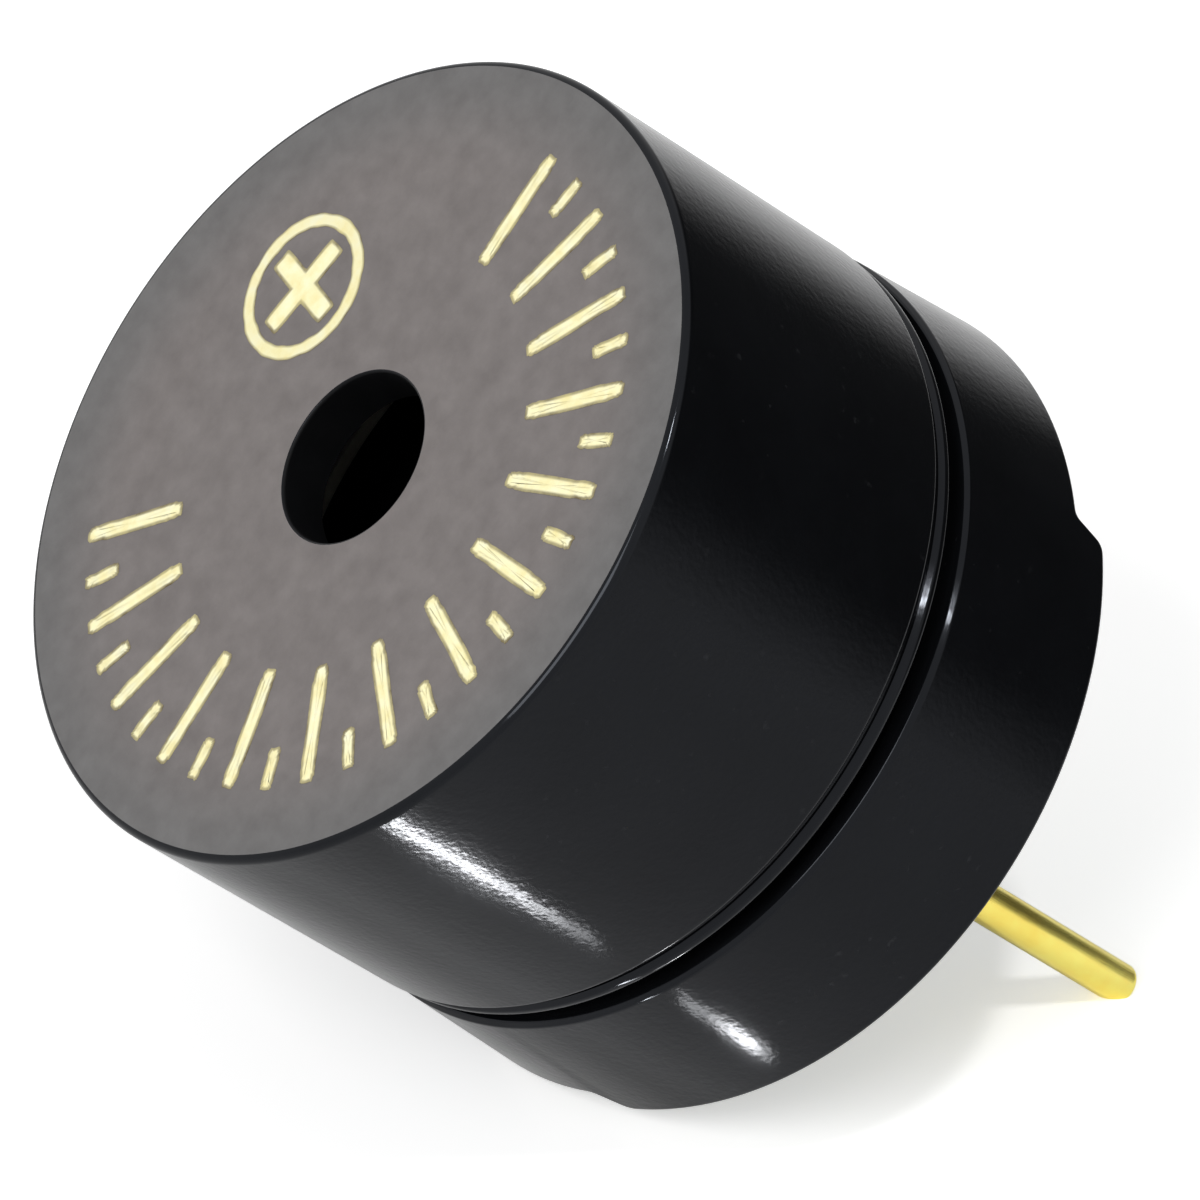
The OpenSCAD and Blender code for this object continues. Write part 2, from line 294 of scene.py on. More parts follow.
# A bump node feeds the shader's normal from a node's output.
def addBump(tree, shader, source, output, strength, depth=0.02):
    bump = addNode(tree, "Bump", (-320, -420), Strength=strength, Distance=depth * mm)
    joinNodes(tree, (source, output, bump, "Height"), (bump, "Normal", shader, "Normal"))


# The sockets of a Mix node that mixes colours, which share their names with those for numbers.
mixShare, mixFrom, mixTo, mixResult = 0, 6, 7, 2


# Mixes one more colour into the one that the shader has, by a node that puts out a share.
def mixColour(tree, shader, share, colour, blend="MIX"):
    mixer = addNode(tree, "Mix", (-300, 300), data_type="RGBA", blend_type=blend)
    mixer.inputs[mixTo].default_value = (*colour, 1)
    tree.links.new(shader.inputs["Base Color"].links[0].from_socket, mixer.inputs[mixFrom])
    joinNodes(tree, (share, 0, mixer, mixShare), (mixer, mixResult, shader, "Base Color"))


# Two colours mixed by the grain's mottle, and a roughness and a bump that follow a node's outputs.
def addFinish(tree, shader, grain, source, gloss, relief, finish):
    colour = addRamp(tree, (-620, 200), grain, [(0, finish["dark"]), (1, finish["pale"])])
    smoothest, roughest = finish["roughness"]
    rough = addNode(tree, "MapRange", (-620, -100), To_Min=smoothest, To_Max=roughest)
    joinNodes(tree, (colour, "Color", shader, "Base Color"), (source, gloss, rough, "Value"),
              (rough, "Result", shader, "Roughness"))
    addBump(tree, shader, source, relief, finish["bump"])


# Most finishes here, whose roughness follows the mottle and whose bump is the fine grain.
def grainedMaterial(name, finish):
    material, tree, shader, where = newMaterial(name, finish["shader"])
    grain = useGroup(tree, grainGroup, (-1050, 0), where, Fine=finish["fine"], Coarse=finish["coarse"],
                     Octaves=finish.get("octaves", 4.0))
    addFinish(tree, shader, grain, grain, "Mottle", "Height", finish)
    return material, tree, shader, where


wallFinish = {
    "shader": {"Specular IOR Level": 0.16, "Specular Tint": (0.84, 0.89, 1.0)},
    "dark": (0.0028, 0.0030, 0.0036), "pale": (0.0044, 0.0048, 0.0058), "roughness": (0.11, 0.18),
    "fine": 9.0, "coarse": 0.45, "bump": 0.17, "octaves": 1.5,
    "dustColour": (0.16, 0.165, 0.175), "dustSize": 6.0, "dustAmount": 0.06,
}


# The case's glossy plastic, with a little dust on it.
def makeGlossBlack(finish):
    material, tree, shader, where = grainedMaterial("glossBlack", finish)
    dust = useGroup(tree, dustGroup, (-1050, 420), where,
                    Size=finish["dustSize"], Amount=finish["dustAmount"])
    mixColour(tree, shader, dust, finish["dustColour"])
    return material


glossBlack = makeGlossBlack(wallFinish)

# The small rounded edges are worn smooth, so they glint more than the walls between them.
edgeFinish = {
    "shader": {"Specular IOR Level": 0.19, "Specular Tint": (0.84, 0.89, 1.0)},
    "dark": (0.0022, 0.0024, 0.0030), "pale": (0.0040, 0.0044, 0.0052), "roughness": (0.07, 0.10),
    "fine": 6.0, "coarse": 0.6, "bump": 0.04, "octaves": 1.0,
}
polishedEdge = grainedMaterial("polishedEdge", edgeFinish)[0]

# The face is black plastic: the grey of its colours is painted sheen, standing for a big light's soft
# reflection in its matt surface.
faceSheenFinish = {
    "shader": {"Specular IOR Level": 0.2},
    "dark": (0.158, 0.143, 0.139), "pale": (0.208, 0.190, 0.185), "roughness": (0.55, 0.68),
    "fine": 11.0, "coarse": 2.2, "bump": 0.35,
    "rimTint": (0.80, 0.86, 0.88), "tintFrom": 4.2, "tintTo": 5.8,
}


# The face's painted sheen, a grey colour on black plastic, turns darker and bluer towards the rim: its
# colour times a tint, whose share grows with the distance from the axis.
def makeFaceSheenGrey(finish):
    material, tree, shader, where = grainedMaterial("faceSheenGrey", finish)
    level = addNode(tree, "VectorMath", (-1050, 520), operation="MULTIPLY")
    level.inputs[1].default_value = (1, 1, 0)
    radius = addNode(tree, "VectorMath", (-860, 520), operation="LENGTH")
    rimShare = addNode(tree, "MapRange", (-680, 520), interpolation_type="SMOOTHSTEP",
                       From_Min=finish["tintFrom"], From_Max=finish["tintTo"])
    joinNodes(tree, (where, "Vector", level, 0), (level, "Vector", radius, 0),
              (radius, "Value", rimShare, "Value"))
    mixColour(tree, shader, rimShare, finish["rimTint"], "MULTIPLY")
    return material


faceSheenGrey = makeFaceSheenGrey(faceSheenFinish)

portFinish = {
    "shader": {"Specular IOR Level": 0.1},
    "dark": (0.0016, 0.0017, 0.0020), "pale": (0.0030, 0.0031, 0.0036), "roughness": (0.5, 0.6),
    "fine": 9.0, "coarse": 0.8, "bump": 0.15,
}
portBlack = grainedMaterial("portBlack", portFinish)[0]
print("stage 2: case plastics made")

upperShell = {
    "wallR": 5.9, "top": 8.7, "faceDrop": 0.008, "rimR": 0.12, "rimSteps": 12, "edgeR": 0.08,
    "lipZ": 3.13, "beadR": 0.11, "beadInset": 0.03, "beadSteps": 14, "flatFrom": 26, "flatTurn": 43,
    "creaseH": 0.12, "creaseDepth": 0.12, "portR": 1.25, "portEdgeR": 0.05,
    "boreR": 5.45, "ceilingZ": 7.9, "chamberR": 5.0, "chamberFillet": 0.4, "spigotZ": 4.6, "steps": 288,
    "faceMargin": 0.01, "faceNormal": 0.995, "portMargin": 0.02, "edgeMargin": 0.1, "edgeNormal": 0.05,
}


# The cap: from its bead up the wall, over the rim and the face, down the port and round the chamber.
def makeUpperShell(shell):
    wallR, edgeR, rimR, beadR = shell["wallR"], shell["edgeR"], shell["rimR"], shell["beadR"]
    portR, portEdgeR, fillet = shell["portR"], shell["portEdgeR"], shell["chamberFillet"]
    faceZ = shell["top"] - shell["faceDrop"]
    creaseZ = shell["lipZ"] + 2 * beadR
    creaseR = wallR - shell["creaseDepth"]
    wallZ = creaseZ + shell["creaseH"]
    # The bead ends in a small flat, whose normal is turned up by flatTurn.
    bead = arcPoints(wallR - shell["beadInset"] - beadR, shell["lipZ"] + beadR, beadR,
                     -90, shell["flatFrom"], shell["beadSteps"])
    flatRise = creaseZ - bead[-1][1]
    flatEnd = (bead[-1][0] - flatRise * math.tan(math.radians(shell["flatTurn"])), creaseZ)
    outline = section(
        (shell["boreR"], shell["lipZ"]), bead, flatBetween(bead[-1], flatEnd), flatEnd,
        (creaseR, creaseZ), (creaseR, wallZ), arcPoints(wallR - edgeR, wallZ + edgeR, edgeR, -90, 0),
        arcPoints(wallR - rimR, faceZ - rimR, rimR, 0, 90, shell["rimSteps"]),
        arcPoints(portR + portEdgeR, faceZ - portEdgeR, portEdgeR, 90, 180), (portR, shell["ceilingZ"]),
        arcPoints(shell["chamberR"] - fillet, shell["ceilingZ"] - fillet, fillet, 90, 0),
        (shell["chamberR"], shell["spigotZ"]), (shell["boreR"], shell["spigotZ"]))
    piece = addPiece("upperCase", [revolve(outline, shell["steps"])],
                     [glossBlack, faceSheenGrey, portBlack, polishedEdge], ["upper_case"])
    # The face takes the matt finish with its painted sheen, the inside of the port the dull one, and
    # slanting faces outside the bore the polished one.
    radius, height, upward = facesOf(piece)
    isFace = (height > faceZ - shell["faceMargin"]) & (upward > shell["faceNormal"])
    inPort = radius < portR + shell["portMargin"]
    isEdge = (radius > shell["boreR"] + shell["edgeMargin"]) & (np.abs(upward) > shell["edgeNormal"])
    paintFaces(piece, np.select([isFace, inPort, isEdge], [1, 2, 3], 0))


makeUpperShell(upperShell)

lowerShell = {
    "footR": 6.0, "topR": 5.9, "edgeR": 0.08, "shoulderR": 0.1, "shoulderZ": 2.85, "shoulderSteps": 5,
    "flatFrom": 23, "flatTo": 63, "spigotR": 5.45, "spigotZ": 4.6, "leadIn": 0.1,
    "boreR": 5.0, "seatR": 5.25, "seatZ": 1.75, "footH": 0.55, "ceilingHalf": 2.95, "mouthHalf": 3.15,
    "cornerR": 0.15, "cornerSteps": 12, "slantMargin": 0.1, "sideRows": 40, "slantRows": 26, "notchRows": 24,
    "fadeFrom": 0.12, "fadeHeight": 1.2, "insideFade": 1.45, "outsideR": 5.6,
    "edgeMargin": 0.03, "edgeNormal": 0.15, "sharpAt": 32,
}


# Height of the notch's underside over x: level, a corner arc, the slanted side, a corner arc, zero.
def notchHeight(x, shell):
    h, r, steps = shell["footH"], shell["cornerR"], shell["cornerSteps"]
    slope = math.degrees(math.atan2(h, shell["mouthHalf"] - shell["ceilingHalf"]))
    inset = r * math.tan(math.radians(slope / 2))
    low = arcPoints(shell["mouthHalf"] + inset, r, r, 270, 270 - slope, steps)
    high = arcPoints(shell["ceilingHalf"] - inset, h - r, r, 90 - slope, 90, steps)
    outline = np.vstack([low, high])[::-1]
    return np.interp(np.abs(x), outline[:, 0], outline[:, 1])


# Turn angles of one quarter for a radius: even steps to the notch's mouth, then the angles whose
# x = r cos(turn) crosses the slant in even steps, then even steps to the Y axis.
def quarterTurns(r, shell):
    xMouth = shell["mouthHalf"] + shell["slantMargin"]
    xCeiling = shell["ceilingHalf"] - shell["slantMargin"]
    mouth, ceiling = np.arccos(xMouth / r), np.arccos(xCeiling / r)
    first = mouth[:, None] * np.linspace(0, 1, shell["sideRows"])[:-1]
    slant = np.arccos(np.linspace(xMouth, xCeiling, shell["slantRows"])[None, :-1] / r[:, None])
    last = ceiling[:, None] + (fullTurn / 4 - ceiling)[:, None] * np.linspace(0, 1, shell["notchRows"])
    return np.hstack([first, slant, last])


# The lower case: a turned ring whose bottom rows rise where a notch crosses the foot.
def makeLowerShell(shell):
    footR, edgeR, shoulderR, leadIn = shell["footR"], shell["edgeR"], shell["shoulderR"], shell["leadIn"]
    shoulder = shell["topR"] - shoulderR, shell["shoulderZ"] - shoulderR, shoulderR
    # The shoulder's edge is rounded, with a small flat half way.
    under = arcPoints(*shoulder, 0, shell["flatFrom"], shell["shoulderSteps"])
    over = arcPoints(*shoulder, shell["flatTo"], 90, shell["shoulderSteps"])
    outline = section(
        (shell["seatR"] + leadIn, 0), arcPoints(footR - edgeR, edgeR, edgeR, -90, 0),
        under, flatBetween(under[-1], over[0]), over,
        (shell["spigotR"], shell["shoulderZ"]), (shell["spigotR"], shell["spigotZ"] - leadIn),
        (shell["spigotR"] - leadIn, shell["spigotZ"]), (shell["boreR"], shell["spigotZ"]),
        (shell["boreR"], shell["seatZ"]), (shell["seatR"], shell["seatZ"]), (shell["seatR"], leadIn))
    r, z = outline[:, 0], outline[:, 1]
    quarter = quarterTurns(r, shell)
    turn = np.hstack([quarter[:, :-1], (fullTurn / 2 - quarter)[:, :0:-1],
                      (fullTurn / 2 + quarter)[:, :-1], (fullTurn - quarter)[:, :0:-1]]).T
    x, y = r * np.cos(turn), r * np.sin(turn)
    # The rise fades out up the wall: slowly outside, and sooner inside, where the resin starts.
    outside = np.clip(1 - (z - shell["fadeFrom"]) / shell["fadeHeight"], 0, 1)
    inside = np.clip(1 - shell["insideFade"] * z, 0, 1)
    rise = np.where(r > shell["outsideR"], outside, inside)
    grid = np.stack([x, y, z + notchHeight(x, shell) * rise], axis=2)
    piece = addPiece("lowerCase", [weave(grid)], [glossBlack, polishedEdge], ["lower_case"],
                     sharpAt=shell["sharpAt"])
    radius, _, upward = facesOf(piece)
    atEdge = radius > shell["topR"] - shoulderR - shell["edgeMargin"]
    paintFaces(piece, atEdge & (np.abs(upward) > shell["edgeNormal"]))


makeLowerShell(lowerShell)
print("stage 3: both shells made")

goldFinish = {
    "dark": (0.97, 0.76, 0.15), "pale": (1.0, 0.90, 0.23), "roughness": (0.14, 0.30),
    "fine": 8.0, "coarse": 1.3, "across": 16.0, "bump": 0.25,
}


# Gold plate over drawn brass: the drawing lines give the roughness and the bump.
def makePinGold(finish):
    material, tree, shader, where = newMaterial("pinGold", {"Metallic": 1.0})
    lines = useGroup(tree, drawnGroup, (-1050, 100), where, Across=finish["across"])
    grain = useGroup(tree, grainGroup, (-1050, -200), where, Fine=finish["fine"], Coarse=finish["coarse"])
    addFinish(tree, shader, grain, lines, "Mask", "Mask", finish)
    return material


pinGold = makePinGold(goldFinish)

pinShape = {
    "pitch": 6.5, "shankR": 0.3, "length": 5.5, "tip": 0.07, "barrelZ": 0.8, "barrelR": 0.46,
    "boardTop": 1.75, "headR": 0.6, "headTop": 2.0, "bevel": 0.1, "steps": 64,
}


# A pin: a round tip, the shank, a thicker barrel in the board and a head on top of it.
def makePin(name, node, side):
    p = pinShape
    outline = section(
        (0, -p["length"]), arcPoints(p["shankR"] - p["tip"], -p["length"] + p["tip"], p["tip"], -90, 0),
        (p["shankR"], p["barrelZ"]), (p["barrelR"], p["barrelZ"]), (p["barrelR"], p["boardTop"]),
        (p["headR"], p["boardTop"]),
        arcPoints(p["headR"] - p["bevel"], p["headTop"] - p["bevel"], p["bevel"], 0, 90),
        (0, p["headTop"]), closed=False)
    addPiece(name, [revolve(outline, p["steps"], closed=False, centre=(side * p["pitch"] / 2, 0))],
             [pinGold], [node])


makePin("pinNegative", "pin_negative", 1)
makePin("pinPositive", "pin_positive", -1)

boardFinish = {
    "shader": {"Coat Weight": 0.35, "Coat Roughness": 0.12},
    "dark": (0.012, 0.070, 0.030), "pale": (0.022, 0.115, 0.048), "roughness": (0.3, 0.42),
    "fine": 6.0, "coarse": 1.1, "bump": 0.18,
}
boardGreen = grainedMaterial("boardGreen", boardFinish)[0]
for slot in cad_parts["circuit_board"].material_slots:
    slot.material = boardGreen

copperFinish = {
    "shader": {"Metallic": 1.0},
    "dark": (0.62, 0.29, 0.15), "pale": (0.80, 0.43, 0.26), "roughness": (0.22, 0.4),
    "fine": 9.0, "coarse": 1.6, "bump": 0.2,
}
landCopper = grainedMaterial("landCopper", copperFinish)[0]

landShape = {
    "outerR": 0.95, "holeR": 0.5, "tailLength": 1.989, "tailHalf": 0.2375, "tailTurn": 119.2,
    "bottom": 0.91, "top": 0.95, "edge": 0.012, "steps": 360,
}


# A land about its pin. Its outline is the larger of the round pad's radius and the distance to the
# edge of the straight tail, min(length / cos, half width / sin) of the angle off the tail.
def makeLand(name, node, side):
    s = landShape
    turn = np.linspace(0, fullTurn, s["steps"], endpoint=False)
    off = turn - math.radians(s["tailTurn"])
    along, across = np.maximum(np.cos(off), tiny), np.maximum(np.abs(np.sin(off)), tiny)
    tail = np.minimum(s["tailLength"] / along, s["tailHalf"] / across) * (np.cos(off) > 0)
    outer = np.maximum(s["outerR"], tail)
    hole = s["holeR"] + 0 * outer
    radius = np.stack([hole, outer - s["edge"], outer, outer, hole], axis=1)
    height = np.array([s["bottom"], s["bottom"], s["bottom"] + s["edge"], s["top"], s["top"]])
    grid = np.stack([side * (pinShape["pitch"] / 2 + radius * np.cos(turn)[:, None]),
                     side * radius * np.sin(turn)[:, None], height + 0 * radius], axis=2)
    addPiece(name, [weave(grid)], [landCopper], [node])


makeLand("landNegative", "land_negative", 1)
makeLand("landPositive", "land_positive", -1)

solderFinish = {
    "shader": {"Metallic": 1.0},
    "dark": (0.52, 0.53, 0.55), "pale": (0.74, 0.75, 0.77), "roughness": (0.14, 0.34),
    "fine": 5.0, "coarse": 1.8, "bump": 0.3,
}
solderTin = grainedMaterial("solderTin", solderFinish)[0]

solderShape = {
    "footR": 0.9, "pinR": 0.3, "hollowR": 0.55, "hollowSteps": 12, "neck": 0.05, "top": 0.91,
    "inside": 0.8, "sway": 0.025, "slowWave": 0.6, "quickWave": 0.4, "shift": 1.1, "steps": 96,
}


# A cone of solder: a hollow arc runs from the foot to the pin, and the foot sways in and out with
# two waves of the turn angle, two and five to the turn.
def makeSolder(name, node, side):
    s = solderShape
    hollowZ = s["top"] - s["hollowR"]
    outline = section(
        (s["pinR"], s["inside"]), (s["pinR"], hollowZ - s["neck"]),
        arcPoints(s["footR"], hollowZ, s["hollowR"], 180, 90, s["hollowSteps"]))
    points, faces = revolve(outline, s["steps"])
    turn, r = np.arctan2(points[:, 1], points[:, 0]), np.hypot(points[:, 0], points[:, 1])
    reach = np.clip((r - s["pinR"]) / (s["footR"] - s["pinR"]), 0, 1)
    waves = s["slowWave"] * np.sin(2 * turn + s["shift"] * side) + s["quickWave"] * np.sin(5 * turn)
    stretch = 1 - s["sway"] * reach * (1 + waves)
    points = points * np.stack([stretch, stretch, np.ones(len(stretch))], axis=1)
    points[:, 0] += side * pinShape["pitch"] / 2
    addPiece(name, [(points, faces)], [solderTin], [node])


makeSolder("solderNegative", "solder_negative", 1)
makeSolder("solderPositive", "solder_positive", -1)

resinFinish = {
    "shader": {},
    "dark": (0.010, 0.009, 0.008), "pale": (0.026, 0.024, 0.021), "roughness": (0.12, 0.26),
    "fine": 2.5, "coarse": 0.9, "bump": 0.35,
}
resinBlack = grainedMaterial("resinBlack", resinFinish)[0]

# A wave of the seal's inner edge is a number to the turn, a size and a shift.
sealShape = {
    "wallR": 5.25, "top": 0.95, "width": 0.7, "drop": 0.38, "hollowSteps": 16, "steps": 288,
    "sway": 0.045, "setIn": 1.2, "waves": ((3, 1.0, 0.4), (7, 0.7, 2.0), (13, 0.4, 0.0)),
}


# A ring of set resin: a hollow arc from the board up the case wall. Its inner edge wanders with
# waves of the turn angle that fade towards the wall.
def makeSeal(s):
    hollowR = (s["width"] ** 2 + s["drop"] ** 2) / (2 * s["drop"])
    wallTurn = math.degrees(math.acos(s["width"] / hollowR))
    outline = section(
        (s["wallR"], s["top"]),
        arcPoints(s["wallR"] - s["width"], s["top"] - hollowR, hollowR, 90, wallTurn, s["hollowSteps"]))
    points, faces = revolve(outline, s["steps"])
    turn, r = np.arctan2(points[:, 1], points[:, 0]), np.hypot(points[:, 0], points[:, 1])
    fade = (s["wallR"] - r) / s["width"]
    waves = sum(size * np.sin(count * turn + shift) for count, size, shift in s["waves"])
    stretch = 1 + s["sway"] * fade * (waves + s["setIn"]) / r
    points = points * np.stack([stretch, stretch, np.ones(len(r))], axis=1)
    addPiece("epoxySeal", [(points, faces)], [resinBlack], ["epoxy_seal"])


makeSeal(sealShape)
print("stage 4: pins and underside made")

motorFinishes = {
    "ironPlate": {
        "shader": {"Metallic": 1.0},
        "dark": (0.42, 0.43, 0.44), "pale": (0.58, 0.59, 0.60), "roughness": (0.25, 0.4),
        "fine": 6.0, "coarse": 0.9, "bump": 0.2,
    },
    "springIron": {
        "shader": {"Metallic": 1.0},
        "dark": (0.50, 0.51, 0.52), "pale": (0.66, 0.67, 0.68), "roughness": (0.2, 0.34),
        "fine": 9.0, "coarse": 0.7, "bump": 0.15,
    },
    "lacqueredIron": {
        "shader": {"Specular IOR Level": 0.08},
        "dark": (0.003, 0.003, 0.0035), "pale": (0.006, 0.006, 0.0065), "roughness": (0.55, 0.7),
        "fine": 9.0, "coarse": 0.7, "bump": 0.15,
    },
    "naturalNylon": {
        "shader": {},
        "dark": (0.70, 0.67, 0.58), "pale": (0.82, 0.79, 0.70), "roughness": (0.42, 0.55),
        "fine": 5.0, "coarse": 0.8, "bump": 0.2,
    },
    "wireEnamel": {
        "shader": {"Metallic": 1.0, "Coat Weight": 0.6, "Coat Roughness": 0.15},
        "dark": (0.44, 0.15, 0.05), "pale": (0.66, 0.27, 0.11), "roughness": (0.22, 0.34),
        "fine": 8.0, "coarse": 1.4, "bump": 0.15,
    },
    "amberTape": {
        "shader": {"Coat Weight": 0.5, "Coat Roughness": 0.1},
        "dark": (0.50, 0.29, 0.03), "pale": (0.70, 0.45, 0.07), "roughness": (0.2, 0.35),
        "fine": 4.0, "coarse": 0.8, "bump": 0.2,
    },
    "ferriteGrey": {
        "shader": {"Specular IOR Level": 0.4},
        "dark": (0.030, 0.030, 0.032), "pale": (0.062, 0.062, 0.066), "roughness": (0.5, 0.7),
        "fine": 7.0, "coarse": 1.2, "bump": 0.4,
    },
}
motorLook = {name: grainedMaterial(name, finish)[0] for name, finish in motorFinishes.items()}
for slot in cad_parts["yoke_plate"].material_slots:
    slot.material = motorLook["ironPlate"]

motor = {
    "yokeTop": 2.45, "coreR": 1.0, "coreTop": 4.45, "bevel": 0.1, "flangeR": 2.75,
    "barrelR": 1.14, "bobbinTop": 4.35, "coilR": 2.6, "coilBottom": 2.6, "coilTop": 4.2, "ridges": 16,
    "ridgeSteps": 6, "tapeR": 2.65, "tapeBottom": 2.85, "magnetBore": 3.2, "magnetR": 4.25,
    "magnetTop": 4.45, "ringBore": 4.3, "ringR": 4.95, "ringTop": 4.95, "ledge": 4.7, "ledgeR": 4.79,
    "diaphragmR": 4.75, "diaphragmT": 0.08, "armatureR": 1.9, "armatureT": 0.22,
    "steps": 128, "coreSteps": 96,
}


# A flat ring with bevelled corners, as a section.
def ringSection(innerR, outerR, low, high, bevel):
    return section((innerR + bevel, low), (outerR - bevel, low), (outerR, low + bevel),
                   (outerR, high - bevel), (outerR - bevel, high), (innerR + bevel, high),
                   (innerR, high - bevel), (innerR, low + bevel))


# The fixed iron, the spool and the magnet, from the core outwards.
def makeMagnetSystem(m):
    base = pinShape["boardTop"]
    core = section((0, base), (m["coreR"], base), (m["coreR"], m["coreTop"] - m["bevel"]),
                   (m["coreR"] - m["bevel"], m["coreTop"]), (0, m["coreTop"]), closed=False)
    addPiece("poleCore", [revolve(core, m["coreSteps"], closed=False)], [motorLook["ironPlate"]],
             ["pole_core"])
    spool = section((m["coreR"], m["yokeTop"]), (m["flangeR"], m["yokeTop"]),
                    (m["flangeR"], m["coilBottom"]), (m["barrelR"], m["coilBottom"]),
                    (m["barrelR"], m["coilTop"]), (m["flangeR"], m["coilTop"]),
                    (m["flangeR"], m["bobbinTop"]), (m["coreR"], m["bobbinTop"]))
    addPiece("bobbinSpool", [revolve(spool, m["steps"])], [motorLook["naturalNylon"]],
             ["bobbin"])
    magnet = ringSection(m["magnetBore"], m["magnetR"], m["yokeTop"], m["magnetTop"], m["bevel"])
    addPiece("magnetRing", [revolve(magnet)], [motorLook["ferriteGrey"]], ["magnet_ring"])


# The ring on the yoke, the diaphragm on its ledge and the armature on the diaphragm.
def makeDiaphragm(m):
    support = section((m["ringBore"], m["yokeTop"]), (m["ringR"], m["yokeTop"]), (m["ringR"], m["ringTop"]),
                      (m["ledgeR"], m["ringTop"]), (m["ledgeR"], m["ledge"]), (m["ringBore"], m["ledge"]))
    addPiece("supportRing", [revolve(support)], [motorLook["naturalNylon"]],
             ["support_ring"])
    top = m["ledge"] + m["diaphragmT"]
    sheet = section((0, m["ledge"]), (m["diaphragmR"], m["ledge"]), (m["diaphragmR"], top), (0, top),
                    closed=False)
    addPiece("diaphragmDisc", [revolve(sheet, closed=False)], [motorLook["lacqueredIron"]],
             ["diaphragm"])
    plateTop = top + m["armatureT"]
    plate = section((0, top), (m["armatureR"], top), (m["armatureR"], plateTop - m["bevel"]),
                    (m["armatureR"] - m["bevel"], plateTop), (0, plateTop), closed=False)
    addPiece("armatureDisc", [revolve(plate, m["steps"], closed=False)], [motorLook["springIron"]],
             ["armature_disc"])


leadShape = {
    "wireR": 0.05, "start": 2.4, "hole": 2.95, "exitZ": 2.72, "underZ": 0.86, "endR": 0.56, "bend": 0.12,
    "sharpAt": 60,
}


# The winding's outside is a row of half rounds, one for each turn of wire. Its two leads leave low
# down, drop through the board and run under it to the pins. They leave halfway between X and Y,
# start and hole being distances from the axis.
def makeWinding(m, lead):
    pitch = (m["coilTop"] - m["coilBottom"]) / m["ridges"]
    centres = m["coilBottom"] + pitch * (np.arange(m["ridges"]) + 0.5)
    angle = np.radians(np.linspace(-90, 90, m["ridgeSteps"] + 1))
    ridgeR = (m["coilR"] - pitch / 2 + pitch / 2 * np.cos(angle))[None, :] + 0 * centres[:, None]
    ridgeZ = centres[:, None] + pitch / 2 * np.sin(angle)[None, :]
    outline = section((m["barrelR"], m["coilBottom"]), np.stack([ridgeR.ravel(), ridgeZ.ravel()], axis=1),
                      (m["barrelR"], m["coilTop"]))
    parts = [revolve(outline, m["steps"])]
    start, hole = lead["start"] / math.sqrt(2), lead["hole"] / math.sqrt(2)
    endTurn = math.radians(landShape["tailTurn"])
    endX, endY = pinShape["pitch"] / 2 + lead["endR"] * math.cos(endTurn), lead["endR"] * math.sin(endTurn)
    corners = [(start, start, lead["exitZ"]), (hole, hole, lead["exitZ"]), (hole, hole, lead["underZ"]),
               (endX, endY, lead["underZ"])]
    for side in (1, -1):
        path = softPath(corners, lead["bend"]) * np.array([side, side, 1])
        parts.append(tube(path, lead["wireR"]))
    addPiece("coilWinding", parts, [motorLook["wireEnamel"]], ["coil_winding"],
             sharpAt=lead["sharpAt"])


def makeTape(m):
    wrap = section((m["coilR"], m["tapeBottom"]), (m["tapeR"], m["tapeBottom"]),
                   (m["tapeR"], m["coilTop"]), (m["coilR"], m["coilTop"]))
    addPiece("coilTape", [revolve(wrap, m["steps"])], [motorLook["amberTape"]], ["coil_tape"])


makeMagnetSystem(motor)
makeDiaphragm(motor)
makeWinding(motor, leadShape)
makeTape(motor)
print("stage 5: motor made")

# The ink's stops run over the mottle. At an outline the fringe's share is fringeLeast plus the
# mottle times fringeSpread.
inkFinish = {
    "shader": {"Specular IOR Level": 0.3, "Roughness": 0.5}, "fine": 9.0, "coarse": 3.0,
    "stops": [(0.0, (0.92, 0.82, 0.40)), (0.5, (0.99, 0.93, 0.56)), (1.0, (1.0, 0.98, 0.70))],
    "fringe": (0.13, 0.095, 0.035), "fringeLeast": 0.55, "fringeSpread": 0.5, "bump": 0.3, "depth": 0.01,
}


# Cream ink that thins to a dark fringe at its edge: the inkEdge attribute times a patchy share.
def makeInkCream(finish):
    material, tree, shader, where = newMaterial("inkCream", finish["shader"])
    grain = useGroup(tree, grainGroup, (-1050, 0), where, Fine=finish["fine"], Coarse=finish["coarse"])
    edge = addNode(tree, "Attribute", (-1050, 300), attribute_name="inkEdge")
    patchy = addNode(tree, "Math", (-820, 300), operation="MULTIPLY_ADD")
    patchy.inputs[1].default_value = finish["fringeSpread"]
    patchy.inputs[2].default_value = finish["fringeLeast"]
    frayed = addNode(tree, "Math", (-640, 300), operation="MULTIPLY")
    body = addRamp(tree, (-620, 0), grain, finish["stops"])
    joinNodes(tree, (grain, "Mottle", patchy, 0), (edge, "Fac", frayed, 0), (patchy, 0, frayed, 1),
              (body, "Color", shader, "Base Color"))
    mixColour(tree, shader, frayed, finish["fringe"])
    addBump(tree, shader, grain, "Height", finish["bump"], finish["depth"])
    return material


inkCream = makeInkCream(inkFinish)

